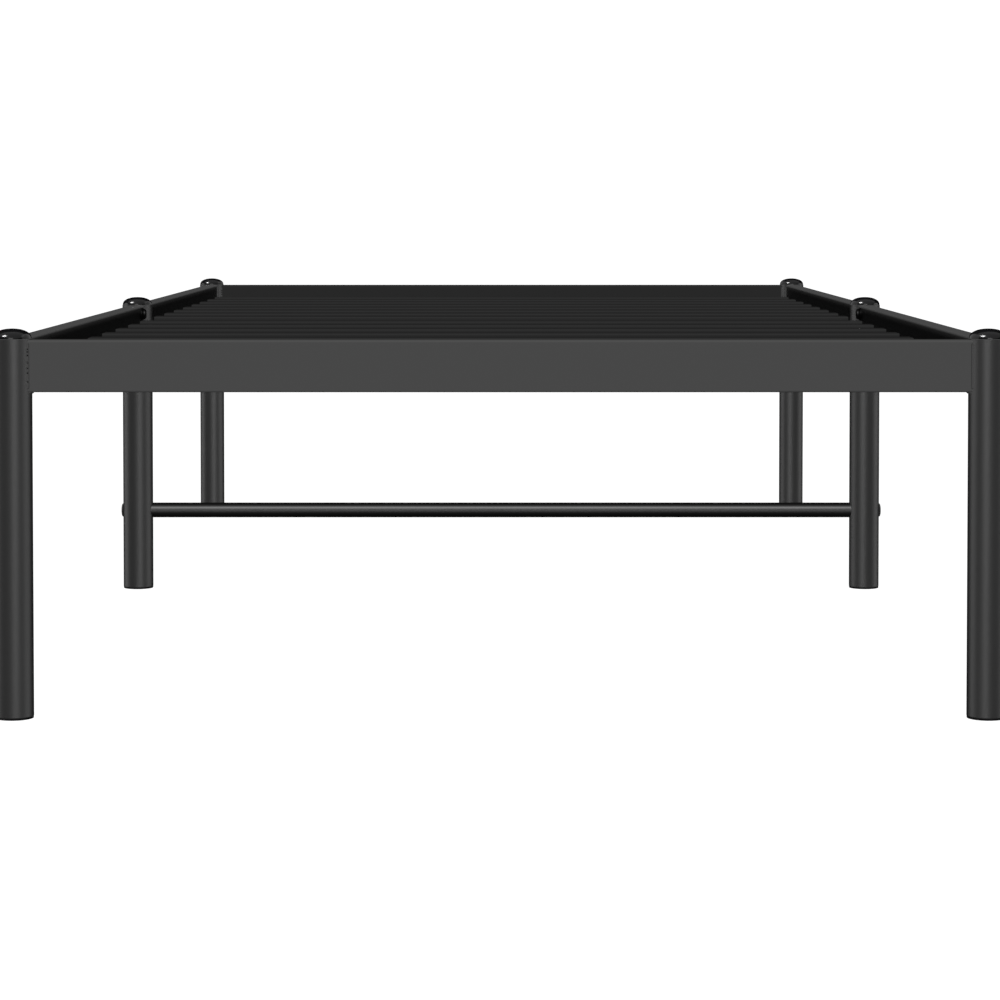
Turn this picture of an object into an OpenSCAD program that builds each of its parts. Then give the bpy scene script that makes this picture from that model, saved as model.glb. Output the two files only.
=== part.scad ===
// Low metal platform bed frame without a headboard: six round tube legs, box-section rails
// and two welded half frames of cross slats, bolted together at the middle legs.
// Millimetres. Origin on the floor under the middle of the bed: +Y towards the far end, +Z up.

/* [Overall size] */
// Distance across the bed between the leg centre lines
leg_span_x = 932; // [780:1:1560]
// Distance along the bed between the centre lines of the end legs
leg_span_y = 2032; // [1880:1:2140]
// Height of the rails' top faces above the floor
rail_top_z = 363; // [280:1:450]

/* [Legs] */
// Outside diameter of the leg tube
leg_d = 38; // [36:0.5:40]
// Wall thickness of the leg tube
leg_wall = 1.2; // [1:0.1:2.5]
// How far the leg tube stands above the rails
leg_above_rail = 1; // [0:0.5:6]
// Height of the domed end cap
cap_rise = 9.5; // [7:0.5:12]
// Radius of the cap's rim, where the dome turns down
cap_rim_r = 6; // [3:0.5:6]
// Thickness of the foot plug's flange under the tube
foot_flange = 2; // [1.5:0.5:4]
// Depth of the plastic plugs inside the tube
plug_depth = 14; // [8:1:20]

/* [Rails] */
// Height of the rail section
rail_h = 50; // [45:1:60]
// Thickness of the rail section
rail_t = 20; // [18:1:25]
// Wall thickness of the rails
rail_wall = 1.2; // [1:0.1:2]
// Outside corner radius of the rail section
rail_r = 2.5; // [2:0.5:4]

/* [Slats] */
// Width of a slat
slat_w = 40; // [30:1:40]
// Thickness of a slat
slat_t = 12; // [8:1:14]
// Wall thickness of a slat
slat_wall = 0.9; // [0.8:0.1:1.5]
// Corner radius of a slat
slat_r = 2.5; // [2:0.5:3.5]
// Depth of the slat tops below the rail tops
slat_drop = 18.5; // [16.5:0.5:19]
// Distance from the near legs' centre line to the first slat of the near half
slat_first_near = 114.5; // [90:0.5:140]
// Distance from the middle legs' centre line to the first slat of the far half
slat_first_far = 121; // [110:0.5:140]
// Distance from the last slat of a half to the next legs' centre line
slat_last = 38; // [37.5:0.5:60]

/* [Stretcher between the middle legs] */
// Outside diameter of the stretcher tube
stretcher_d = 19; // [16:0.5:25]
// Wall thickness of the stretcher tube
stretcher_wall = 1.2; // [1:0.1:2]
// Height of the stretcher's centre line
stretcher_z = 100; // [60:1:180]
// Length of the threaded insert in each end of the stretcher
insert_len = 26; // [15:1:40]

/* [Fasteners] */
// Thread diameter of all bolts
bolt_d = 8; // [8:1:8]
// Distance from the middle legs' centre line to the rail bolts
rail_bolt_y = 40; // [36:1:60]
// Distance of the rail bolts above and below the middle of the rail
rail_bolt_dz = 15; // [14.5:0.5:15.5]

/* [Hidden] */
$fn = 64;
leg_x = leg_span_x / 2;
leg_y = leg_span_y / 2;
leg_top_z = rail_top_z + leg_above_rail;
leg_bore = leg_d - 2 * leg_wall;
rail_z = rail_top_z - rail_h / 2;
rail_inner_x = leg_x - rail_t / 2;
slat_z = rail_top_z - slat_drop - slat_t / 2;
slats_per_half = 8;
slat_count = 2 * slats_per_half;

bolt_hole_d = bolt_d + 0.6;
thread_clear = 0.1;
low_head_d = 17;
low_head_h = 2.2;
button_head_d = 14;
button_head_h = 4.4;
socket_af = 5;
washer_d = 16;
washer_t = 1.4;
nut_af = 13;
nut_h = 6.5;
stretcher_bolt_len = 60;
rail_bolt_len = 16;
tongue_t = 3;
tongue_h = rail_h - 6;
tongue_reach = rail_bolt_y + 25;
fit_gap = 0.1;

sides = [-1, 1];
side_names = ["left", "right"];
row_names = ["front", "middle", "rear"];
half_names = ["front", "rear"];

// Distance between neighbouring slats of each half
pitch_near = (leg_y - slat_first_near - slat_last) / (slats_per_half - 1);
pitch_far = (leg_y - slat_first_far - slat_last) / (slats_per_half - 1);

// Position along the bed of slat number i, counted from the near end
function slat_y(i) = i < slats_per_half
    ? -leg_y + slat_first_near + pitch_near * i
    : slat_first_far + pitch_far * (i - slats_per_half);

function slat_name(i) = str("slat_", i < 9 ? "0" : "", i + 1);
function leg_name(stem, row, side) = str(stem, "_", row_names[row], "_", side_names[side]);
function half_name(stem, half, side) = str(stem, "_", half_names[half], "_", side_names[side]);

// ---- helpers ----

// Rectangle with round corners, centred
module round_rect(w, h, r) {
    square([w - 2 * r, h], center = true);
    square([w, h - 2 * r], center = true);
    for (x = sides, y = sides) translate([x * (w / 2 - r), y * (h / 2 - r)]) circle(r);
}

// Box-section tube along X, w wide in Y and h high in Z, centred
module box_tube(length, w, h, wall, r) {
    rotate([90, 0, 90]) linear_extrude(height = length, center = true) difference() {
        round_rect(w, h, r);
        round_rect(w - 2 * wall, h - 2 * wall, r - wall);
    }
}

// Solid of the leg tubes' outside, used to cope whatever meets a leg
module leg_envelope(x, y) {
    translate([x, y, -1]) cylinder(d = leg_d, h = leg_top_z + 2);
}

module hex_prism(af, h) {
    cylinder(d = af / cos(30), h = h, $fn = 6);
}

// Domed bolt with a hexagon socket: head above z = 0, shank below
module bolt(head_d, head_h, length) {
    dome_r = (pow(head_d / 2, 2) + head_h * head_h) / (2 * head_h);
    difference() {
        intersection() {
            translate([0, 0, head_h - dome_r]) sphere(dome_r);
            cylinder(d = head_d + 1, h = head_h + 1);
        }
        translate([0, 0, head_h * 0.45]) hex_prism(socket_af, head_h);
    }
    translate([0, 0, -length]) cylinder(d = bolt_d, h = length + 0.2);
}

// Places its children on all four rail joints, with +Z pointing into the bed
module at_rail_bolts() {
    for (x = sides, y = sides, z = sides)
        translate([x * rail_inner_x, y * rail_bolt_y, rail_z + z * rail_bolt_dz])
            rotate([0, -x * 90, 0]) children();
}

// ---- legs ----

module leg(row, side) {
    color("#1b1b1d") translate([sides[side] * leg_x, (row - 1) * leg_y, 0]) difference() {
        translate([0, 0, foot_flange]) cylinder(d = leg_d, h = leg_top_z - foot_flange);
        translate([0, 0, -1]) cylinder(d = leg_bore, h = leg_top_z + 2);
        if (row == 1)
            translate([0, 0, stretcher_z]) rotate([0, 90, 0])
                cylinder(d = bolt_hole_d, h = leg_d + 2, center = true);
    }
}

// Two-arc dome with a hollow plug below it
module leg_cap(row, side) {
    rim_x = leg_d / 2 - cap_rim_r;
    rise = cap_rise - cap_rim_r;
    drop = (rim_x * rim_x - rise * rise) / (2 * rise);
    crown_r = drop + cap_rise;
    meet_x = rim_x + cap_rim_r * rim_x / (crown_r - cap_rim_r);
    meet_z = cap_rim_r * drop / (crown_r - cap_rim_r);
    color("#0f0f10") translate([sides[side] * leg_x, (row - 1) * leg_y, leg_top_z]) {
        rotate_extrude() intersection() {
            translate([rim_x, 0]) circle(cap_rim_r);
            square([leg_d, cap_rim_r]);
        }
        cylinder(r = meet_x, h = meet_z);
        intersection() {
            translate([0, 0, -drop]) sphere(crown_r);
            cylinder(r = meet_x, h = cap_rise + 1);
        }
        difference() {
            translate([0, 0, -plug_depth]) cylinder(d = leg_bore - fit_gap, h = plug_depth + 1);
            translate([0, 0, -plug_depth - 1]) cylinder(d = leg_bore - 5, h = plug_depth - 1);
        }
    }
}

module foot_plug(row, side) {
    color("#121213") translate([sides[side] * leg_x, (row - 1) * leg_y, 0]) {
        cylinder(d = leg_d, h = foot_flange);
        difference() {
            cylinder(d = leg_bore - fit_gap, h = foot_flange + plug_depth);
            translate([0, 0, foot_flange]) cylinder(d = leg_bore - 5, h = plug_depth + 1);
        }
    }
}

// ---- rails and slats ----

// Rail across one end of the bed; end is -1 or 1
module end_rail(end) {
    color("#1b1b1d") difference() {
        translate([0, end * leg_y, rail_z]) box_tube(leg_span_x, rail_t, rail_h, rail_wall, rail_r);
        for (x = sides) leg_envelope(x * leg_x, end * leg_y);
    }
}

module side_rail(half, side) {
    mid_y = (half - 0.5) * leg_y;
    color("#1b1b1d") difference() {
        translate([sides[side] * leg_x, mid_y, rail_z]) rotate([0, 0, 90])
            box_tube(leg_y, rail_t, rail_h, rail_wall, rail_r);
        for (y = [0, sides[half] * leg_y]) leg_envelope(sides[side] * leg_x, y);
        for (z = sides)
            translate([sides[side] * rail_inner_x, sides[half] * rail_bolt_y, rail_z + z * rail_bolt_dz])
                rotate([0, 90, 0]) cylinder(d = bolt_hole_d, h = 4 * rail_wall, center = true);
    }
}

module slat(i) {
    color("#1b1b1d") translate([0, slat_y(i), slat_z])
        box_tube(2 * rail_inner_x, slat_w, slat_t, slat_wall, slat_r);
}

// ---- stretcher ----

module stretcher() {
    color("#1b1b1d") difference() {
        translate([0, 0, stretcher_z]) rotate([0, 90, 0]) difference() {
            cylinder(d = stretcher_d, h = leg_span_x, center = true);
            cylinder(d = stretcher_d - 2 * stretcher_wall, h = leg_span_x + 2, center = true);
        }
        for (x = sides) leg_envelope(x * leg_x, 0);
    }
}

// Threaded inserts held in the stretcher's ends
module stretcher_inserts() {
    insert_x = leg_x - leg_d / 2 - 1;
    color("#8d8f92") for (x = sides)
        translate([x * insert_x, 0, stretcher_z]) rotate([0, -x * 90, 0]) difference() {
            cylinder(d = stretcher_d - 2 * stretcher_wall - fit_gap, h = insert_len);
            translate([0, 0, -1]) cylinder(d = bolt_d + thread_clear, h = insert_len + 2);
        }
}

module stretcher_bolts() {
    color("#141415") for (x = sides)
        translate([x * (leg_x + leg_d / 2), 0, stretcher_z]) rotate([0, x * 90, 0])
            bolt(low_head_d, low_head_h, stretcher_bolt_len);
}

// ---- bolted rail joints at the middle legs ----

// Plate welded to a middle leg, reaching into the end of a side rail
module rail_tongue(half, side) {
    plate_x = rail_inner_x + rail_wall + fit_gap + tongue_t / 2;
    color("#1b1b1d") difference() {
        translate([sides[side] * plate_x, sides[half] * tongue_reach / 2, rail_z])
            cube([tongue_t, tongue_reach, tongue_h], center = true);
        leg_envelope(sides[side] * leg_x, 0);
        for (z = sides)
            translate([sides[side] * plate_x, sides[half] * rail_bolt_y, rail_z + z * rail_bolt_dz])
                rotate([0, 90, 0]) cylinder(d = bolt_hole_d, h = 2 * tongue_t, center = true);
    }
}

module rail_bolts() {
    color("#141415") at_rail_bolts() translate([0, 0, washer_t])
        bolt(button_head_d, button_head_h, rail_bolt_len);
}

module rail_washers() {
    color("#141415") at_rail_bolts() difference() {
        cylinder(d = washer_d, h = washer_t);
        translate([0, 0, -1]) cylinder(d = bolt_hole_d, h = washer_t + 2);
    }
}

// Weld nuts on the outer side of the tongues, inside the rails
module rail_nuts() {
    nut_depth = rail_wall + fit_gap + tongue_t;
    color("#8d8f92") at_rail_bolts() translate([0, 0, -nut_depth - nut_h]) difference() {
        hex_prism(nut_af, nut_h);
        translate([0, 0, -1]) cylinder(d = bolt_d + thread_clear, h = nut_h + 2);
    }
}

// ---- assembly ----

for (row = [0:2], side = [0:1]) {
    leg(row, side);
    leg_cap(row, side);
    foot_plug(row, side);
}
end_rail(-1);  // front_rail
end_rail(1);  // rear_rail
for (half = [0:1], side = [0:1]) {
    side_rail(half, side);
    rail_tongue(half, side);
}
for (i = [0:slat_count - 1])
    slat(i);
stretcher();
stretcher_inserts();
stretcher_bolts();
rail_bolts();
rail_washers();
rail_nuts();
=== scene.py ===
"""Looks of a low black metal platform bed frame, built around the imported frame."""
import math

import bmesh
import bpy
from bpy.props import FloatProperty, FloatVectorProperty, PointerProperty
from mathutils import Matrix, Vector


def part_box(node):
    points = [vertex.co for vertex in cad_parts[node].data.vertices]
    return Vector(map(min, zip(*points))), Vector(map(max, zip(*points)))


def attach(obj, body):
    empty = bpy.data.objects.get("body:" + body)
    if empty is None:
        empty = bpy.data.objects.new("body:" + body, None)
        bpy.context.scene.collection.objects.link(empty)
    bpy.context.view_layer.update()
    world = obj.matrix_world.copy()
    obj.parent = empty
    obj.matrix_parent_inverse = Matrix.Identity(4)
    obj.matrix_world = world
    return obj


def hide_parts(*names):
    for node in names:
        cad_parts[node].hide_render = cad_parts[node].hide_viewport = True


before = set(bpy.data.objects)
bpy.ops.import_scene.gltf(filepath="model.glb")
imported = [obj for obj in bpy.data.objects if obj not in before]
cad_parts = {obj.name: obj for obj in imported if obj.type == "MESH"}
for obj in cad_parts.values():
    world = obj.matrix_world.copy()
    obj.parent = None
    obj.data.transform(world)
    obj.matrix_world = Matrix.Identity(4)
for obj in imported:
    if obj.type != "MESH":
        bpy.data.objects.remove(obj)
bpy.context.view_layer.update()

bl_info = {
    "name": "Metal bed frame",
    "version": (1, 0, 0),
    "blender": (4, 5, 0),
    "location": "View3D > Sidebar > Bed frame",
    "description": "Builds the tubes, rails, slats, caps and bolts of a black metal bed frame",
    "category": "Object",
}

MM = 0.001
SIDES = ("left", "right")
ROWS = ("front", "middle", "rear")
HALVES = ("front", "rear")
SLAT_NAMES = sorted(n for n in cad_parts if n.startswith("slat_"))

ROUND_STEPS = 96      # facets round a leg, cap or foot
CORNER_STEPS = 6      # facets in the corner of a box section
COPE_CUTS = 9         # cuts across a rail end that let it follow the leg
BOLT_STEPS = 48       # facets round a bolt
SOFT_EDGE = math.radians(38)
SAME_PLACE = 1e-6     # metres below which two points are taken as one

PLUG_CLEARANCE = 0.05 * MM
BOLT_SHANK_RADIUS = 4.0 * MM
STRETCHER_BOLT_LENGTH = 60.0 * MM
RAIL_BOLT_LENGTH = 16.0 * MM
RAIL_BOLT_HEAD_RADIUS = 7.0 * MM
RAIL_BOLT_HEAD_HEIGHT = 4.4 * MM
WASHER_RADIUS = 8.0 * MM
WASHER_HOLE_RADIUS = 4.3 * MM
WASHER_THICKNESS = 1.4 * MM
WASHER_RIM_BREAK = 0.3 * MM


# ---- sizes and colours a user would change ----

class BedFrameSizes(bpy.types.PropertyGroup):
    """Sizes of the details that the frame leaves open."""
    cap_lip: FloatProperty(
        name="Cap lip", description="Height of the upright lip at the foot of the domed cap",
        default=0.4 * MM, min=0.0, unit="LENGTH")
    cap_inset: FloatProperty(
        name="Cap inset", description="How far the rim of a cap stands inside the face of its leg",
        default=0.5 * MM, min=0.0, unit="LENGTH")
    rim_break: FloatProperty(
        name="Rim break", description="Width of the broken edge at the ends of the tubes",
        default=0.7 * MM, min=0.0, unit="LENGTH")
    rail_corner: FloatProperty(
        name="Rail corner", description="Outside corner radius of the rails",
        default=2.5 * MM, min=0.0, unit="LENGTH")
    slat_corner: FloatProperty(
        name="Slat corner", description="Outside corner radius of the slats",
        default=2.5 * MM, min=0.0, unit="LENGTH")
    rail_wall: FloatProperty(
        name="Rail wall", description="Wall thickness of the rails and legs",
        default=1.2 * MM, min=0.0, unit="LENGTH")
    slat_wall: FloatProperty(
        name="Slat wall", description="Wall thickness of the slats",
        default=0.9 * MM, min=0.0, unit="LENGTH")
    joint_gap: FloatProperty(
        name="Joint gap", description="Gap between a bolted rail or stretcher and the middle leg",
        default=0.45 * MM, min=0.0, unit="LENGTH")
    bead: FloatProperty(
        name="Weld bead", description="Radius of the weld beads on the rails",
        default=2.2 * MM, min=0.0, unit="LENGTH")
    bead_ripple: FloatProperty(
        name="Bead ripple", description="Distance between the ripples of a weld bead",
        default=2.6 * MM, min=0.001, unit="LENGTH")
    socket: FloatProperty(
        name="Bolt socket", description="Width across the flats of the bolts' sockets",
        default=5.0 * MM, min=0.0, unit="LENGTH")


class BedFrameColours(bpy.types.PropertyGroup):
    """Colours of the finishes, as linear values."""
    coat: FloatVectorProperty(
        name="Powder coat", description="Black powder coat of the tubes, rails and slats",
        subtype="COLOR", size=3, min=0, max=1, default=(0.022, 0.022, 0.0228))
    cap: FloatVectorProperty(
        name="End caps", description="Glossy black plastic of the domed caps",
        subtype="COLOR", size=3, min=0, max=1, default=(0.006, 0.006, 0.0065))
    foot: FloatVectorProperty(
        name="Foot plugs", description="Matt black plastic of the foot plugs",
        subtype="COLOR", size=3, min=0, max=1, default=(0.008, 0.008, 0.0085))
    bolt: FloatVectorProperty(
        name="Bolts", description="Black coated steel of the bolts and washers",
        subtype="COLOR", size=3, min=0, max=1, default=(0.07, 0.07, 0.072))
    zinc: FloatVectorProperty(
        name="Zinc", description="Plated steel of the nuts and inserts inside the tubes",
        subtype="COLOR", size=3, min=0, max=1, default=(0.55, 0.56, 0.58))
    floor: FloatVectorProperty(
        name="Floor", description="Pale studio floor",
        subtype="COLOR", size=3, min=0, max=1, default=(0.92, 0.92, 0.92))


def sizes():
    return bpy.context.scene.bed_frame_sizes


def colours():
    return bpy.context.scene.bed_frame_colours


# ---- places read from the frame ----

def middle_of(node):
    """Centre and half extents of a CAD node's box."""
    low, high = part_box(node)
    low, high = Vector(low), Vector(high)
    return (low + high) / 2, (high - low) / 2


def leg_axis(row, side):
    """Centre line and radius of a leg: x, y, radius."""
    centre, half = middle_of(f"leg_{row}_{side}")
    return centre.x, centre.y, half.x


# ---- finishes ----

def wire(tree, *pairs):
    for source, target in pairs:
        tree.links.new(source, target)


def new_finish(name):
    """An empty node material: the tree, its shader and its object coordinates."""
    material = bpy.data.materials.new(name)
    material.use_nodes = True
    tree = material.node_tree
    tree.nodes.clear()
    output = tree.nodes.new("ShaderNodeOutputMaterial")
    shader = tree.nodes.new("ShaderNodeBsdfPrincipled")
    place = tree.nodes.new("ShaderNodeTexCoord")
    wire(tree, (shader.outputs["BSDF"], output.inputs["Surface"]))
    return material, tree, shader, place.outputs["Object"]


def noise(tree, place, scale, detail=2.0, roughness=0.5, stretch=None):
    """Noise of that scale in cycles per metre; stretch squeezes it along an axis."""
    if stretch is not None:
        mapping = tree.nodes.new("ShaderNodeMapping")
        mapping.inputs["Scale"].default_value = stretch
        wire(tree, (place, mapping.inputs["Vector"]))
        place = mapping.outputs["Vector"]
    node = tree.nodes.new("ShaderNodeTexNoise")
    node.inputs["Scale"].default_value = scale
    node.inputs["Detail"].default_value = detail
    node.inputs["Roughness"].default_value = roughness
    wire(tree, (place, node.inputs["Vector"]))
    return node.outputs["Fac"]


def remap(tree, value, low, high, to_low, to_high):
    """The value, stretched so that low to high becomes to_low to to_high."""
    node = tree.nodes.new("ShaderNodeMapRange")
    for socket, number in zip(("From Min", "From Max", "To Min", "To Max"), (low, high, to_low, to_high)):
        node.inputs[socket].default_value = number
    wire(tree, (value, node.inputs["Value"]))
    return node.outputs["Result"]


def blend_colours(tree, factor, first, second):
    """Mix of two colours, or of a colour socket and a colour."""
    node = tree.nodes.new("ShaderNodeMix")
    node.data_type = "RGBA"
    wire(tree, (factor, node.inputs["Factor"]))
    for socket, colour in ((node.inputs[6], first), (node.inputs[7], second)):
        if isinstance(colour, bpy.types.NodeSocket):
            wire(tree, (colour, socket))
        else:
            socket.default_value = (*colour, 1.0)
    return node.outputs[2]


def bumps(tree, shader, layers):
    """Bump from (height socket, strength, distance) layers, the coarsest first."""
    normal = None
    for height, strength, distance in layers:
        node = tree.nodes.new("ShaderNodeBump")
        node.inputs["Strength"].default_value = strength
        node.inputs["Distance"].default_value = distance
        wire(tree, (height, node.inputs["Height"]))
        if normal is not None:
            wire(tree, (normal, node.inputs["Normal"]))
        normal = node.outputs["Normal"]
    wire(tree, (normal, shader.inputs["Normal"]))


def tinted(colour, factor):
    """The colour, made that many times brighter."""
    return tuple(min(1.0, c * factor) for c in colour)


def powder_coat():
    """Satin black powder coat: orange peel, faint clouding, dust specks and rubbed streaks."""
    name = "black_powder_coat"
    if name in bpy.data.materials:
        return bpy.data.materials[name]
    material, tree, shader, place = new_finish(name)
    base = tuple(colours().coat)
    clouds = noise(tree, place, 9.0, 4.0)
    mottled = blend_colours(tree, remap(tree, clouds, 0.35, 0.65, 0.0, 1.0),
                            tinted(base, 0.82), tinted(base, 1.22))
    specks = remap(tree, noise(tree, place, 1400.0, 1.0), 0.70, 0.78, 0.0, 0.5)
    dusty = blend_colours(tree, specks, mottled, tinted(base, 3.4))
    wire(tree, (dusty, shader.inputs["Base Color"]))
    rubbed = noise(tree, place, 22.0, 5.0, 0.6, stretch=(0.15, 1.0, 1.0))
    wire(tree, (remap(tree, rubbed, 0.3, 0.7, 0.34, 0.46), shader.inputs["Roughness"]))
    shader.inputs["Specular IOR Level"].default_value = 0.5
    peel = noise(tree, place, 420.0, 2.0)
    grain = noise(tree, place, 1700.0, 1.0)
    bumps(tree, shader, ((peel, 0.30, 0.00022), (grain, 0.18, 0.00006)))
    return material


def gloss_plastic():
    """Moulded black plastic with a polished face, a slight haze and hairline marks."""
    name = "gloss_black_plastic"
    if name in bpy.data.materials:
        return bpy.data.materials[name]
    material, tree, shader, place = new_finish(name)
    base = tuple(colours().cap)
    clouds = noise(tree, place, 60.0, 3.0)
    hazy = blend_colours(tree, clouds, tinted(base, 0.8), tinted(base, 1.5))
    wire(tree, (hazy, shader.inputs["Base Color"]))
    hairlines = noise(tree, place, 260.0, 3.0, 0.6, stretch=(0.12, 1.0, 1.0))
    wire(tree, (remap(tree, hairlines, 0.45, 0.75, 0.13, 0.24), shader.inputs["Roughness"]))
    shader.inputs["Specular IOR Level"].default_value = 0.5
    bumps(tree, shader, ((noise(tree, place, 180.0, 2.0), 0.05, 0.00012),
                         (noise(tree, place, 1500.0, 1.0), 0.04, 0.00004)))
    return material


def matt_plastic():
    """Eroded matt black plastic with patches of dust."""
    name = "matt_black_plastic"
    if name in bpy.data.materials:
        return bpy.data.materials[name]
    material, tree, shader, place = new_finish(name)
    base = tuple(colours().foot)
    dust = remap(tree, noise(tree, place, 320.0, 3.0), 0.45, 0.72, 0.0, 0.6)
    wire(tree, (blend_colours(tree, dust, base, tinted(base, 3.0)), shader.inputs["Base Color"]))
    wire(tree, (remap(tree, dust, 0.0, 0.6, 0.55, 0.8), shader.inputs["Roughness"]))
    bumps(tree, shader, ((noise(tree, place, 1900.0, 2.0), 0.4, 0.0001),))
    return material


def coated_steel():
    """Black coated steel of the bolts and washers, with a worn sheen."""
    name = "black_bolt_steel"
    if name in bpy.data.materials:
        return bpy.data.materials[name]
    material, tree, shader, place = new_finish(name)
    base = tuple(colours().bolt)
    patches = noise(tree, place, 420.0, 4.0)
    worn = remap(tree, patches, 0.55, 0.75, 0.0, 1.0)
    wire(tree, (blend_colours(tree, worn, base, tinted(base, 2.2)), shader.inputs["Base Color"]),
         (remap(tree, patches, 0.3, 0.7, 0.42, 0.24), shader.inputs["Roughness"]))
    shader.inputs["Metallic"].default_value = 1.0
    bumps(tree, shader, ((noise(tree, place, 900.0, 3.0), 0.2, 0.00008),))
    return material


def zinc_plate():
    """Bright zinc plate with a fine spangle."""
    name = "zinc_plated_steel"
    if name in bpy.data.materials:
        return bpy.data.materials[name]
    material, tree, shader, place = new_finish(name)
    base = tuple(colours().zinc)
    spangle = noise(tree, place, 500.0, 2.0, 0.7)
    plated = blend_colours(tree, spangle, tinted(base, 0.75), tinted(base, 1.15))
    wire(tree, (plated, shader.inputs["Base Color"]),
         (remap(tree, spangle, 0.3, 0.7, 0.28, 0.5), shader.inputs["Roughness"]))
    shader.inputs["Metallic"].default_value = 1.0
    bumps(tree, shader, ((noise(tree, place, 1300.0, 2.0), 0.2, 0.00006),))
    return material


# ---- mesh helpers ----

def verts_in(result):
    """Vertices that a bmesh operator made."""
    return [g for g in result["geom"] if isinstance(g, bmesh.types.BMVert)]


def edges_in(result):
    """Edges that a bmesh operator made."""
    return [g for g in result["geom"] if isinstance(g, bmesh.types.BMEdge)]


def finish_piece(bm, name, material, slot, *nodes, even_shading=False):
    """Turns a bmesh into a piece that rides on the frame and stands for those CAD nodes."""
    bmesh.ops.recalc_face_normals(bm, faces=bm.faces)
    loose = [e for e in bm.edges if not e.is_manifold]
    if loose:
        raise RuntimeError(f"{name} isn't closed: {len(loose)} open edges")
    for edge in bm.edges:
        edge.smooth = edge.calc_face_angle(0.0) < SOFT_EDGE
    for face in bm.faces:
        face.smooth = True
    mesh = bpy.data.meshes.new(name)
    bm.to_mesh(mesh)
    bm.free()
    mesh.materials.append(material)
    piece = bpy.data.objects.new(name, mesh)
    bpy.context.scene.collection.objects.link(piece)
    if even_shading:
        even = piece.modifiers.new("Even shading", "WEIGHTED_NORMAL")
        even.keep_sharp = True
    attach(piece, "root")
    if nodes:
        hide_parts(*nodes)


def finish_cad(node, material):
    """Gives a CAD node that stays in place its finish."""
    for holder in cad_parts[node].material_slots:
        holder.material = material


def extrude_ring(bm, length):
    """Pulls a flat ring of faces up into a closed tube along +Z."""
    pulled = bmesh.ops.extrude_face_region(bm, geom=list(bm.faces))
    bmesh.ops.translate(bm, verts=verts_in(pulled), vec=(0, 0, length))


def box_section(bm, wide, high, corner, wall, length):
    """Box tube from z = 0 to length, wide along X and high along Y, with round corners."""
    corners = [bm.verts.new((x * wide / 2, y * high / 2, 0)) for x, y in ((-1, -1), (1, -1), (1, 1), (-1, 1))]
    bm.faces.new(corners)
    bmesh.ops.bevel(bm, geom=corners, offset=corner, affect="VERTICES",
                    segments=CORNER_STEPS, profile=0.5, material=-1)
    across = [e for e in bm.edges
              if e.calc_length() > corner and abs(e.verts[0].co.y - e.verts[1].co.y) < corner / 100]
    bmesh.ops.subdivide_edges(bm, edges=across, cuts=COPE_CUTS)
    bm.faces.ensure_lookup_table()
    face = bm.faces[0]
    bmesh.ops.inset_region(bm, faces=[face], thickness=wall, use_even_offset=True, use_boundary=True)
    bmesh.ops.delete(bm, geom=[face], context="FACES_ONLY")
    extrude_ring(bm, length)


def round_tube(bm, radius, wall, length, steps=ROUND_STEPS):
    """Round tube from z = 0 to length."""
    outside = bmesh.ops.create_circle(bm, segments=steps, radius=radius)["verts"]
    inside = bmesh.ops.create_circle(bm, segments=steps, radius=radius - wall)["verts"]
    rims = {e for v in outside + inside for e in v.link_edges}
    bmesh.ops.bridge_loops(bm, edges=list(rims))
    extrude_ring(bm, length)


def break_rims(bm, radius, offset):
    """Bevels the outer rims of a round tube that stands along Z."""
    rims = [e for e in bm.edges
            if abs(e.verts[0].co.z - e.verts[1].co.z) < SAME_PLACE
            and all(abs(v.co.xy.length - radius) < 10 * SAME_PLACE for v in e.verts)]
    bmesh.ops.bevel(bm, geom=rims, offset=offset, affect="EDGES", segments=3, profile=0.5, material=-1)


def turned(bm, profile):
    """Spins a profile of (radius, height) points into a closed solid about Z."""
    points = [bm.verts.new((r, 0, z)) for r, z in profile]
    edges = [bm.edges.new(pair) for pair in zip(points, points[1:])]
    bmesh.ops.spin(bm, geom=points + edges, cent=(0, 0, 0), axis=(0, 0, 1), angle=2 * math.pi,
                   steps=ROUND_STEPS, use_merge=True)
    bmesh.ops.remove_doubles(bm, verts=bm.verts, dist=SAME_PLACE)
    bmesh.ops.dissolve_degenerate(bm, dist=SAME_PLACE / 10, edges=bm.edges)


# turns a shape that was made along +Z so that it runs along +X or +Y
ALONG_X = Matrix(((0, 0, 1, 0), (1, 0, 0, 0), (0, 1, 0, 0), (0, 0, 0, 1)))
ALONG_Y = Matrix(((-1, 0, 0, 0), (0, 0, 1, 0), (0, 1, 0, 0), (0, 0, 0, 1)))


def copies(make, matrices):
    """One bmesh that holds a copy of the shape made by make at each matrix."""
    source = bmesh.new()
    make(source)
    bmesh.ops.recalc_face_normals(source, faces=source.faces)
    mesh = bpy.data.meshes.new("copy_source")
    source.to_mesh(mesh)
    source.free()
    bm = bmesh.new()
    for matrix in matrices:
        before = len(bm.verts)
        bm.from_mesh(mesh)
        bm.verts.ensure_lookup_table()
        bmesh.ops.transform(bm, matrix=matrix, verts=bm.verts[before:])
    bpy.data.meshes.remove(mesh)
    return bm


def cope_gap(x, y, row, side, gap):
    """How far a leg's surface, grown by gap, reaches from its axis at that x or y; the other is None."""
    axis_x, axis_y, radius = leg_axis(row, side)
    offset = x - axis_x if y is None else y - axis_y
    return math.sqrt((radius + gap) ** 2 - offset ** 2)


# ---- pieces ----

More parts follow.
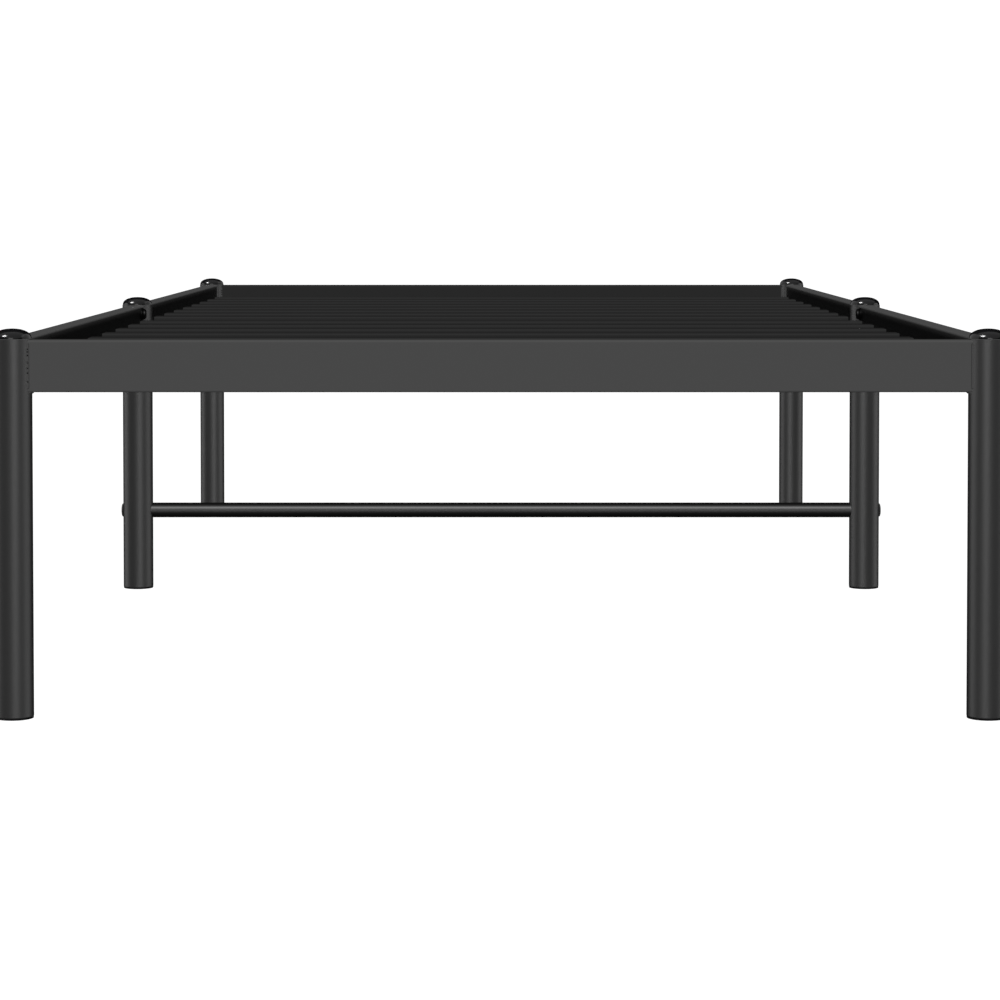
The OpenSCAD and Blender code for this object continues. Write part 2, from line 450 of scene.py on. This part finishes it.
class BEDFRAME_OT_legs(bpy.types.Operator):
    """Six round leg tubes with broken rims"""
    bl_idname = "bedframe.legs"
    bl_label = "Leg tubes"

    def execute(self, context):
        for row in ROWS:
            for side in SIDES:
                node = f"leg_{row}_{side}"
                centre, half = middle_of(node)
                bm = bmesh.new()
                round_tube(bm, half.x, sizes().rail_wall, 2 * half.z)
                break_rims(bm, half.x, sizes().rim_break)
                bmesh.ops.translate(bm, verts=bm.verts, vec=centre - Vector((0, 0, half.z)))
                finish_piece(bm, f"{row}_{side}_leg_tube", powder_coat(), "black_powder_coat", node,
                             even_shading=True)
        return {"FINISHED"}


class BEDFRAME_OT_caps(bpy.types.Operator):
    """Domed caps pressed into the leg tubes"""
    bl_idname = "bedframe.caps"
    bl_label = "Leg caps"

    dome_steps = 28
    fullness = 0.93       # below 1 the dome is fuller than an ellipse
    edge = 0.15 * MM

    def execute(self, context):
        for row in ROWS:
            for side in SIDES:
                node = f"leg_cap_{row}_{side}"
                low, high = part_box(node)
                centre, half = middle_of(node)
                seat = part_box(f"leg_{row}_{side}")[1][2]
                lip, rise = sizes().cap_lip, high[2] - seat
                rim = half.x - sizes().cap_inset
                plug, plug_end = half.x - sizes().rail_wall - PLUG_CLEARANCE, low[2] - seat
                profile = [(0.0, rise)]
                for i in range(1, self.dome_steps + 1):
                    turn = i / self.dome_steps * math.pi / 2
                    profile.append((rim * math.sin(turn) ** self.fullness,
                                    lip + (rise - lip) * math.cos(turn) ** self.fullness))
                profile += [(rim, self.edge), (rim - self.edge, 0.0), (plug, 0.0),
                            (plug, plug_end + MM), (plug - MM, plug_end), (0.0, plug_end)]
                bm = bmesh.new()
                turned(bm, profile)
                bmesh.ops.translate(bm, verts=bm.verts, vec=(centre.x, centre.y, seat))
                finish_piece(bm, f"{row}_{side}_domed_cap", gloss_plastic(), "black_cap_plastic", node)
        return {"FINISHED"}


class BEDFRAME_OT_feet(bpy.types.Operator):
    """Foot plugs with a thin flange and a shallow moulded recess"""
    bl_idname = "bedframe.feet"
    bl_label = "Foot plugs"

    edge = 0.6 * MM
    face_inset = 0.25 * MM
    recess = 0.7 * MM
    recess_radius = 7.0 * MM

    def execute(self, context):
        for row in ROWS:
            for side in SIDES:
                node = f"foot_plug_{row}_{side}"
                low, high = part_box(node)
                centre, half = middle_of(node)
                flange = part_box(f"leg_{row}_{side}")[0][2]
                plug = half.x - sizes().rail_wall - PLUG_CLEARANCE
                edge, face = self.edge, half.x - self.face_inset
                profile = [
                    (0.0, self.recess), (self.recess_radius - edge, self.recess), (self.recess_radius, 0.0),
                    (half.x - 1.6 * edge, 0.0), (half.x - 0.6 * edge, 0.3 * edge), (face, edge),
                    (face, flange - 0.5 * edge), (half.x - 0.8 * edge, flange),
                    (plug, flange), (plug, high[2] - MM), (plug - MM, high[2]), (0.0, high[2])]
                bm = bmesh.new()
                turned(bm, profile)
                bmesh.ops.translate(bm, verts=bm.verts, vec=(centre.x, centre.y, low[2]))
                finish_piece(bm, f"{row}_{side}_foot_plug", matt_plastic(), "black_foot_plastic", node)
        return {"FINISHED"}


class BEDFRAME_OT_end_rails(bpy.types.Operator):
    """Box rails across the ends of the bed, coped round the corner legs"""
    bl_idname = "bedframe.end_rails"
    bl_label = "End rails"

    def execute(self, context):
        for row in ("front", "rear"):
            node = f"{row}_rail"
            centre, half = middle_of(node)
            bm = bmesh.new()
            box_section(bm, 2 * half.y, 2 * half.z, sizes().rail_corner, sizes().rail_wall, 2 * half.x)
            bmesh.ops.transform(bm, matrix=ALONG_X, verts=bm.verts)
            bmesh.ops.translate(bm, verts=bm.verts, vec=centre - Vector((half.x, 0, 0)))
            for vert in bm.verts:
                side = "left" if vert.co.x < centre.x else "right"
                reach = cope_gap(None, vert.co.y, row, side, 0.0)
                vert.co.x = leg_axis(row, side)[0] + (reach if side == "left" else -reach)
            finish_piece(bm, f"{row}_end_rail", powder_coat(), "black_powder_coat", node, even_shading=True)
        return {"FINISHED"}


class BEDFRAME_OT_side_rails(bpy.types.Operator):
    """Box rails along the sides, with a fine gap where they are bolted to the middle legs"""
    bl_idname = "bedframe.side_rails"
    bl_label = "Side rails"

    def execute(self, context):
        rows_of = {"front": ("front", "middle"), "rear": ("middle", "rear")}
        for half_name in HALVES:
            for side in SIDES:
                node = f"side_rail_{half_name}_{side}"
                centre, half = middle_of(node)
                bm = bmesh.new()
                box_section(bm, 2 * half.x, 2 * half.z, sizes().rail_corner, sizes().rail_wall, 2 * half.y)
                bmesh.ops.transform(bm, matrix=ALONG_Y, verts=bm.verts)
                bmesh.ops.translate(bm, verts=bm.verts, vec=centre - Vector((0, half.y, 0)))
                for vert in bm.verts:
                    near = vert.co.y < centre.y
                    row = rows_of[half_name][0 if near else 1]
                    gap = sizes().joint_gap if row == "middle" else 0.0
                    reach = cope_gap(vert.co.x, None, row, side, gap)
                    vert.co.y = leg_axis(row, side)[1] + (reach if near else -reach)
                finish_piece(bm, f"{half_name}_{side}_side_rail", powder_coat(), "black_powder_coat", node,
                             even_shading=True)
        return {"FINISHED"}


class BEDFRAME_OT_slats(bpy.types.Operator):
    """Flat tube slats between the side rails"""
    bl_idname = "bedframe.slats"
    bl_label = "Slats"

    def execute(self, context):
        for number, node in enumerate(SLAT_NAMES, 1):
            centre, half = middle_of(node)
            bm = bmesh.new()
            box_section(bm, 2 * half.y, 2 * half.z, sizes().slat_corner, sizes().slat_wall, 2 * half.x)
            bmesh.ops.transform(bm, matrix=ALONG_X, verts=bm.verts)
            bmesh.ops.translate(bm, verts=bm.verts, vec=centre - Vector((half.x, 0, 0)))
            finish_piece(bm, f"cross_slat_{number:02d}", powder_coat(), "black_powder_coat", node,
                         even_shading=True)
        return {"FINISHED"}


class BEDFRAME_OT_stretcher(bpy.types.Operator):
    """Round stretcher with fish-mouth ends against the middle legs"""
    bl_idname = "bedframe.stretcher"
    bl_label = "Stretcher"

    def execute(self, context):
        centre, half = middle_of("stretcher")
        bm = bmesh.new()
        round_tube(bm, half.z, sizes().rail_wall, 2 * half.x, steps=64)
        bmesh.ops.transform(bm, matrix=ALONG_X, verts=bm.verts)
        bmesh.ops.translate(bm, verts=bm.verts, vec=centre - Vector((half.x, 0, 0)))
        for vert in bm.verts:
            side = "left" if vert.co.x < centre.x else "right"
            reach = cope_gap(None, vert.co.y, "middle", side, sizes().joint_gap)
            vert.co.x = leg_axis("middle", side)[0] + (reach if side == "left" else -reach)
        finish_piece(bm, "leg_stretcher", powder_coat(), "black_powder_coat", "stretcher", even_shading=True)
        return {"FINISHED"}


def push_loop(bm, edges, radius, height):
    """Extrudes a loop about Z to a new radius and height; radius None keeps its outline."""
    pushed = bmesh.ops.extrude_edge_only(bm, edges=edges)
    for vert in verts_in(pushed):
        if radius is not None:
            vert.co.xy = vert.co.xy.normalized() * radius
        vert.co.z = height
    return edges_in(pushed)


def make_bolt(bm, head_r, head_h, shank_r, length):
    """Bolt with a domed head above z = 0, a hexagon socket and a chamfered shank below."""
    chamfer, head_inset, rim = 0.8 * MM, 0.3 * MM, 0.25 * MM
    flat_r, dome_steps, deepest = sizes().socket * 0.82, 10, 2.6 * MM
    start = bmesh.ops.create_circle(bm, segments=BOLT_STEPS, radius=shank_r)["verts"]
    shank_top = list({e for v in start for e in v.link_edges})
    down = push_loop(bm, shank_top, shank_r, -length + chamfer)
    down = push_loop(bm, down, shank_r - chamfer, -length)
    bmesh.ops.contextual_create(bm, geom=down)
    loop = push_loop(bm, shank_top, head_r - head_inset, 0.0)
    loop = push_loop(bm, loop, head_r, rim)
    for i in range(1, dome_steps + 1):
        turn = i / dome_steps * math.pi / 2
        loop = push_loop(bm, loop, flat_r + (head_r - flat_r) * math.cos(turn),
                         rim + (head_h - rim) * math.sin(turn))
    hexagon = bmesh.ops.create_circle(bm, segments=6, radius=sizes().socket / math.sqrt(3))["verts"]
    sides = list({e for v in hexagon for e in v.link_edges})
    bmesh.ops.subdivide_edges(bm, edges=sides, cuts=BOLT_STEPS // 6 - 1)
    island = [e for e in bm.edges if e.is_wire]
    for vert in {v for e in island for v in e.verts}:
        vert.co.z = head_h
    bmesh.ops.bridge_loops(bm, edges=loop + island)
    deep = push_loop(bm, island, None, head_h - min(deepest, head_h * 0.7))
    bmesh.ops.contextual_create(bm, geom=deep)


class BEDFRAME_OT_stretcher_bolts(bpy.types.Operator):
    """Low-headed bolts through the middle legs into the stretcher"""
    bl_idname = "bedframe.stretcher_bolts"
    bl_label = "Stretcher bolts"

    def execute(self, context):
        low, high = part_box("stretcher_bolts")
        axis_z, head_r = (low[2] + high[2]) / 2, (high[2] - low[2]) / 2
        places = []
        for side, sign in zip(SIDES, (-1, 1)):
            x, y, radius = leg_axis("middle", side)
            seat = Matrix.Translation((x + sign * radius, y, axis_z))
            places.append(seat @ Matrix.Rotation(sign * math.pi / 2, 4, "Y"))
        right_x, _, right_radius = leg_axis("middle", "right")
        head_h = high[0] - (right_x + right_radius)
        bm = copies(lambda b: make_bolt(b, head_r, head_h, BOLT_SHANK_RADIUS, STRETCHER_BOLT_LENGTH), places)
        finish_piece(bm, "stretcher_bolt_pair", coated_steel(), "black_bolt_steel", "stretcher_bolts",
                     even_shading=True)
        return {"FINISHED"}


def rail_bolt_places():
    """Seats of the rail bolts on the inner faces of the side rails, +Z into the bed."""
    low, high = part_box("rail_washers")
    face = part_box(SLAT_NAMES[0])[1][0]
    places = []
    for sign in (-1, 1):
        inward = Matrix.Rotation(-sign * math.pi / 2, 4, "Y")
        for y in (low[1] + WASHER_RADIUS, high[1] - WASHER_RADIUS):
            for z in (low[2] + WASHER_RADIUS, high[2] - WASHER_RADIUS):
                places.append(Matrix.Translation((sign * face, y, z)) @ inward)
    return places


class BEDFRAME_OT_rail_bolts(bpy.types.Operator):
    """Button-head bolts and washers of the rail joints at the middle legs"""
    bl_idname = "bedframe.rail_bolts"
    bl_label = "Rail bolts and washers"

    def execute(self, context):
        places = rail_bolt_places()
        raised = [m @ Matrix.Translation((0, 0, WASHER_THICKNESS)) for m in places]

        def bolt(bm):
            make_bolt(bm, RAIL_BOLT_HEAD_RADIUS, RAIL_BOLT_HEAD_HEIGHT, BOLT_SHANK_RADIUS, RAIL_BOLT_LENGTH)

        def washer(bm):
            round_tube(bm, WASHER_RADIUS, WASHER_RADIUS - WASHER_HOLE_RADIUS, WASHER_THICKNESS, steps=64)
            break_rims(bm, WASHER_RADIUS, WASHER_RIM_BREAK)

        finish_piece(copies(bolt, raised), "rail_bolt_set", coated_steel(), "black_bolt_steel",
                     "rail_bolts", even_shading=True)
        finish_piece(copies(washer, places), "rail_washer_set", coated_steel(), "black_bolt_steel",
                     "rail_washers", even_shading=True)
        return {"FINISHED"}


class BEDFRAME_OT_hidden_hardware(bpy.types.Operator):
    """Finishes for the tongues, weld nuts and threaded inserts inside the tubes"""
    bl_idname = "bedframe.hidden_hardware"
    bl_label = "Hardware inside the tubes"

    def execute(self, context):
        for half_name in HALVES:
            for side in SIDES:
                finish_cad(f"rail_tongue_{half_name}_{side}", powder_coat())
        for node in ("rail_nuts", "stretcher_inserts"):
            finish_cad(node, zinc_plate())
        return {"FINISHED"}


def gather(bm, make):
    """Adds a shape to bm that is made on its own first, which keeps every step small."""
    part = bmesh.new()
    make(part)
    mesh = bpy.data.meshes.new("gathered")
    part.to_mesh(mesh)
    part.free()
    bm.from_mesh(mesh)
    bpy.data.meshes.remove(mesh)


def lay_bead(bm, path, radius):
    """Rippled weld bead along a path of points, tapered at both ends."""
    ripple, taper, facets = 0.05, (0.45, 0.8, 1.0), 8
    ring = bmesh.ops.create_circle(bm, cap_ends=True, segments=facets, radius=1.0)["verts"]
    edges = list({e for v in ring for e in v.link_edges})
    last = Matrix.Identity(4)
    travelled = 0.0
    for i, point in enumerate(path):
        before, after = path[max(i - 1, 0)], path[min(i + 1, len(path) - 1)]
        travelled += (point - before).length
        from_end = min(i, len(path) - 1 - i)
        swell = 1 + ripple * math.sin(travelled / sizes().bead_ripple * 2 * math.pi)
        size = radius * swell * taper[min(from_end, 2)]
        turn = (after - before).to_track_quat("Z", "Y").to_matrix().to_4x4()
        here = Matrix.Translation(point) @ turn @ Matrix.Scale(size, 4)
        if i == 0:
            verts = ring
        else:
            pushed = bmesh.ops.extrude_edge_only(bm, edges=edges)
            verts, edges = verts_in(pushed), edges_in(pushed)
        bmesh.ops.transform(bm, matrix=here @ last.inverted(), verts=verts)
        last = here
    bmesh.ops.contextual_create(bm, geom=edges)


def evenly(points, step):
    """The same path, cut into even steps."""
    lengths = [0.0]
    for a, b in zip(points, points[1:]):
        lengths.append(lengths[-1] + (b - a).length)
    count = max(4, round(lengths[-1] / step))
    spots, j = [], 0
    for i in range(count + 1):
        target = lengths[-1] * i / count
        while j < len(points) - 2 and lengths[j + 1] < target:
            j += 1
        share = (target - lengths[j]) / max(lengths[j + 1] - lengths[j], 1e-9)
        spots.append(points[j].lerp(points[j + 1], min(max(share, 0.0), 1.0)))
    return spots


def leg_seam(row, side, towards, half_wide, low_z, high_z):
    """Seams of a rail welded to a leg: two upright ones and one curved one under the rail.
    towards is the unit direction from the leg along the rail."""
    x, y, radius = leg_axis(row, side)
    along = Vector((*towards, 0))
    across = Vector((-towards[1], towards[0], 0))
    centre = Vector((x, y, 0))
    inset, tuck, curve_steps = 3 * MM, 1.5 * MM, 12
    reach = math.sqrt(radius ** 2 - half_wide ** 2)
    for s in (-1, 1):
        foot = centre + along * reach + across * s * half_wide
        yield [foot + Vector((0, 0, low_z + inset)), foot + Vector((0, 0, high_z - inset))]
    curve = []
    spread = math.asin((half_wide - tuck) / radius)
    for i in range(curve_steps + 1):
        turn = spread * (2 * i / curve_steps - 1)
        outwards = along * math.cos(turn) + across * math.sin(turn)
        curve.append(centre + outwards * radius + Vector((0, 0, low_z)))
    yield curve


class BEDFRAME_OT_welds(bpy.types.Operator):
    """Weld beads where the rails meet the corner legs and under the ends of the slats"""
    bl_idname = "bedframe.welds"
    bl_label = "Weld beads"

    rail_bead_share = 0.8     # bead radius on the rails, as a share of the weld bead size
    slat_bead_share = 0.55    # and under the slats
    slat_step_share = 1.3     # the slat beads are cut into longer steps
    climb = 5 * MM            # how far a slat bead goes up the edges of the slat
    corner_steps = 5

    def execute(self, context):
        step = sizes().bead_ripple / 4
        rail_bead = sizes().bead * self.rail_bead_share
        slat_bead = sizes().bead * self.slat_bead_share
        bm = bmesh.new()
        for row, inward in (("front", 1), ("rear", -1)):
            low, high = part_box(f"{row}_rail")
            half_wide = (high[1] - low[1]) / 2
            for side, sign in zip(SIDES, (-1, 1)):
                for towards in ((-sign, 0), (0, inward)):
                    for seam in leg_seam(row, side, towards, half_wide, low[2], high[2]):
                        gather(bm, lambda part: lay_bead(part, evenly(seam, step), rail_bead))
        finish_piece(bm, "rail_weld_beads", powder_coat(), "black_powder_coat")

        half = middle_of(SLAT_NAMES[0])[1]
        corner = sizes().slat_corner
        path = [Vector((0, -half.y, -half.z + corner + self.climb))]
        for start, pivot_y in ((math.pi, corner - half.y), (1.5 * math.pi, half.y - corner)):
            for i in range(self.corner_steps + 1):
                turn = start + i / self.corner_steps * math.pi / 2
                path.append(Vector((0, pivot_y + corner * math.cos(turn),
                                    -half.z + corner + corner * math.sin(turn))))
        path.append(Vector((0, half.y, -half.z + corner + self.climb)))
        places = []
        for node in SLAT_NAMES:
            centre = middle_of(node)[0]
            places += [Matrix.Translation((centre.x + sign * half.x, centre.y, centre.z)) for sign in (-1, 1)]
        slat_path = evenly(path, step * self.slat_step_share)
        bm = copies(lambda part: lay_bead(part, slat_path, slat_bead), places)
        finish_piece(bm, "slat_weld_beads", powder_coat(), "black_powder_coat")
        return {"FINISHED"}


# ---- stage ----

SLAT_PIECES = (*(f"cross_{n}" for n in SLAT_NAMES), "slat_weld_beads", "rear_end_rail")
# Far lights: name, azimuth (0 front, 90 right), elevation and width in degrees, strength, groups of
# pieces that it lights, and how: "soft" shows in the matt part of a finish, "sheen" in its gloss.
LIGHTS = (
    ("slat_light", 0, 45, 4, 5.8, "slats", "soft"),
    ("end_rail_top_light", 0, 90, 2, 8.5, "end_rail", "soft"),
    ("end_rail_front_light", 0, 4, 2, 12.6, "end_rail", "soft"),
    ("side_rail_top_light", 0, 90, 2, 16.0, "side_rails", "soft"),
    ("leg_top_light", 0, 90, 2, 12.0, "left_legs right_legs hardware", "soft"),
    ("leg_front_light", 0, 6, 30, 4.8, "left_legs right_legs hardware", "soft"),
    ("left_leg_sheen", 20, 8, 34, 1.3, "left_legs", "sheen"),
    ("right_leg_sheen", -16, 8, 34, 1.3, "right_legs", "sheen"),
    ("leg_left_sheen", -98, 4, 44, 0.9, "left_legs right_legs hardware", "sheen"),
    ("leg_right_sheen", 93, 4, 48, 0.95, "left_legs right_legs hardware", "sheen"),
    ("bead_left_light", -35, 6, 30, 7.5, "beads", "soft"),
    ("bead_right_light", 35, 6, 30, 7.5, "beads", "soft"),
    ("bolt_left_glint", -64, 30, 14, 1.2, "bolts", "sheen"),
    ("bolt_right_glint", 64, 30, 14, 1.2, "bolts", "sheen"),
    ("foot_light", 0, 6, 20, 3.0, "feet", "soft"),
    ("stretcher_high_sheen", 0, 42, 12, 3.0, "stretcher", "sheen"),
    ("stretcher_low_sheen", 0, 0, 34, 0.85, "stretcher", "sheen"),
    ("stretcher_light", 0, 12, 20, 0.7, "stretcher", "soft"),
    ("cap_key", -50, 46, 22, 3.6, "left_caps right_caps", "both"),
    ("cap_sky_glow", 10, 61, 122, 0.9, "left_caps right_caps", "sheen"),
    ("cap_front_sheen", 0, 0, 30, 0.35, "left_caps right_caps", "sheen"),
    ("cap_left_sheen", -96, 0, 44, 0.5, "left_caps", "sheen"),
    ("left_cap_inner_sheen", 112, 8, 84, 0.8, "left_caps", "sheen"),
    ("cap_right_sheen", 93, 0, 48, 0.6, "right_caps", "sheen"),
    ("right_cap_inner_sheen", -112, 8, 84, 0.8, "right_caps", "sheen"),
    ("side_rail_left_light", -90, 0, 1, 7.0, "side_rails", "soft"),
    ("side_rail_right_light", 90, 0, 1, 7.0, "side_rails", "soft"),
    ("side_rail_under_light", 0, -90, 1, 3.0, "side_rails", "soft"),
    ("end_rail_back_light", 180, 0, 1, 6.0, "end_rail", "soft"),
    ("slat_back_light", 180, 0, 1, 6.0, "slats", "soft"),
    ("slat_under_light", 0, -90, 1, 3.0, "slats", "soft"),
    ("leg_back_light", 180, 6, 20, 4.0, "left_legs right_legs", "soft"),
)
FLOOR_LIGHT = 3.75
FLOOR_REACH = 60.0         # metres from the bed to the edge of the floor
AIR_GLOW = 0.004           # what the pieces get from all round
BACKDROP_GLOW = 1.1        # what the camera sees behind them
LIGHT_DISTANCE = 6.0
CAMERA_PLACE = (0.00343, -3.97892, 0.49113)
CAMERA_LENS = 111.859
CAMERA_SHIFT = (-0.0038, -0.18)
CAMERA_DIP = math.radians(2.1166)


class BEDFRAME_OT_stage(bpy.types.Operator):
    """Pale floor, soft studio light and the camera"""
    bl_idname = "bedframe.stage"
    bl_label = "Stage, lights and camera"

    def execute(self, context):
        scene = context.scene
        scene.view_settings.view_transform = "Standard"
        floor = self.floor(scene)
        self.world(scene)
        groups = self.groups(scene, floor)
        for name, azimuth, elevation, angle, strength, target, how in LIGHTS:
            for group in target.split():
                self.hang(scene, f"{group}_{name}", azimuth, elevation, angle, strength, groups[group], how)
        self.hang(scene, "floor_light", 0, 90, 1, FLOOR_LIGHT, groups["floor"], "soft")
        camera = bpy.data.objects.new("camera", bpy.data.cameras.new("camera"))
        camera.location = CAMERA_PLACE
        camera.rotation_euler = (math.pi / 2 - CAMERA_DIP, 0, 0)
        camera.data.lens = CAMERA_LENS
        camera.data.sensor_width = 36
        camera.data.shift_x, camera.data.shift_y = CAMERA_SHIFT
        camera.data.clip_end = 3 * FLOOR_REACH
        scene.collection.objects.link(camera)
        scene.camera = camera
        return {"FINISHED"}

    def groups(self, scene, floor):
        """Collections of the pieces that are lit together. Every piece is in one of them only, since
        a piece in two of them can lose some of its lights."""
        def lit(name, members):
            group = bpy.data.collections.new(f"lit_{name}")
            for member in members:
                group.objects.link(member)
            return group

        pieces = [o for o in scene.objects if o.type == "MESH" and o is not floor and not o.hide_render]
        endings = {
            "left_caps": "left_domed_cap", "right_caps": "right_domed_cap",
            "left_legs": "left_leg_tube", "right_legs": "right_leg_tube",
            "slats": SLAT_PIECES, "end_rail": "front_end_rail", "side_rails": "_side_rail",
            "stretcher": "leg_stretcher", "feet": "_foot_plug",
            "bolts": ("rail_bolt_set", "rail_washer_set"), "beads": "rail_weld_beads"}
        groups = {name: [o for o in pieces if o.name.endswith(ends)] for name, ends in endings.items()}
        taken = {o for members in groups.values() for o in members}
        groups["hardware"] = [o for o in pieces if o not in taken]
        groups["floor"] = [floor]
        return {name: lit(name, members) for name, members in groups.items()}

    def hang(self, scene, name, azimuth, elevation, angle, strength, group, how):
        """Hangs a far light that lights, and is shadowed by, only the pieces of that group."""
        light = bpy.data.lights.new(name, "SUN")
        light.angle, light.energy = math.radians(angle), strength
        holder = bpy.data.objects.new(name, light)
        scene.collection.objects.link(holder)
        turn, climb = math.radians(azimuth), math.radians(elevation)
        level = math.cos(climb)
        towards = Vector((math.sin(turn) * level, -math.cos(turn) * level, math.sin(climb)))
        holder.rotation_euler = towards.to_track_quat("Z", "Y").to_euler()
        holder.location = towards * LIGHT_DISTANCE
        holder.light_linking.receiver_collection = group
        holder.light_linking.blocker_collection = group
        holder.visible_diffuse = how != "sheen"
        holder.visible_glossy = how != "soft"

    def floor(self, scene):
        """Pale floor that only the camera sees, so it throws no light back at the frame."""
        bm = bmesh.new()
        bmesh.ops.create_grid(bm, x_segments=1, y_segments=1, size=FLOOR_REACH)
        mesh = bpy.data.meshes.new("studio_floor")
        bm.to_mesh(mesh)
        bm.free()
        material, tree, shader, place = new_finish("pale_floor")
        pale = tuple(colours().floor)
        wire(tree, (blend_colours(tree, noise(tree, place, 3.0, 3.0), pale, tinted(pale, 1.03)),
                    shader.inputs["Base Color"]))
        shader.inputs["Roughness"].default_value = 0.9
        shader.inputs["Specular IOR Level"].default_value = 0.1
        mesh.materials.append(material)
        floor = bpy.data.objects.new("studio_floor", mesh)
        scene.collection.objects.link(floor)
        floor.visible_diffuse = floor.visible_glossy = False
        return floor

    def world(self, scene):
        """White behind the frame, and almost nothing that lights it."""
        world = bpy.data.worlds.new("studio_air")
        world.use_nodes = True
        tree = world.node_tree
        tree.nodes.clear()
        output = tree.nodes.new("ShaderNodeOutputWorld")
        white = tree.nodes.new("ShaderNodeBackground")
        white.inputs["Color"].default_value = (1, 1, 1, 1)
        white.inputs["Strength"].default_value = BACKDROP_GLOW
        dim = tree.nodes.new("ShaderNodeBackground")
        dim.inputs["Color"].default_value = (1, 1, 1, 1)
        dim.inputs["Strength"].default_value = AIR_GLOW
        seen = tree.nodes.new("ShaderNodeLightPath")
        mix = tree.nodes.new("ShaderNodeMixShader")
        wire(tree, (seen.outputs["Is Camera Ray"], mix.inputs[0]), (dim.outputs[0], mix.inputs[1]),
             (white.outputs[0], mix.inputs[2]), (mix.outputs[0], output.inputs["Surface"]))
        scene.world = world


# ---- panel and registration ----

OPERATORS = (
    BEDFRAME_OT_legs, BEDFRAME_OT_caps, BEDFRAME_OT_feet, BEDFRAME_OT_end_rails, BEDFRAME_OT_side_rails,
    BEDFRAME_OT_slats, BEDFRAME_OT_stretcher, BEDFRAME_OT_stretcher_bolts, BEDFRAME_OT_rail_bolts,
    BEDFRAME_OT_hidden_hardware, BEDFRAME_OT_welds, BEDFRAME_OT_stage)


class BEDFRAME_PT_panel(bpy.types.Panel):
    """Sizes, colours and build steps of the bed frame"""
    bl_label = "Bed frame"
    bl_idname = "BEDFRAME_PT_panel"
    bl_space_type = "VIEW_3D"
    bl_region_type = "UI"
    bl_category = "Bed frame"

    def draw(self, context):
        for group in (context.scene.bed_frame_sizes, context.scene.bed_frame_colours):
            box = self.layout.box()
            for prop in group.bl_rna.properties:
                if prop.identifier not in ("rna_type", "name"):
                    box.prop(group, prop.identifier)
        for operator in OPERATORS:
            self.layout.operator(operator.bl_idname)


CLASSES = (BedFrameSizes, BedFrameColours, *OPERATORS, BEDFRAME_PT_panel)


def register():
    for cls in CLASSES:
        bpy.utils.register_class(cls)
    bpy.types.Scene.bed_frame_sizes = PointerProperty(type=BedFrameSizes)
    bpy.types.Scene.bed_frame_colours = PointerProperty(type=BedFrameColours)


def unregister():
    del bpy.types.Scene.bed_frame_colours
    del bpy.types.Scene.bed_frame_sizes
    for cls in reversed(CLASSES):
        bpy.utils.unregister_class(cls)


def main():
    register()
    for operator in OPERATORS:
        group, name = operator.bl_idname.split(".")
        getattr(getattr(bpy.ops, group), name)()


if __name__ == "__main__":
    main()
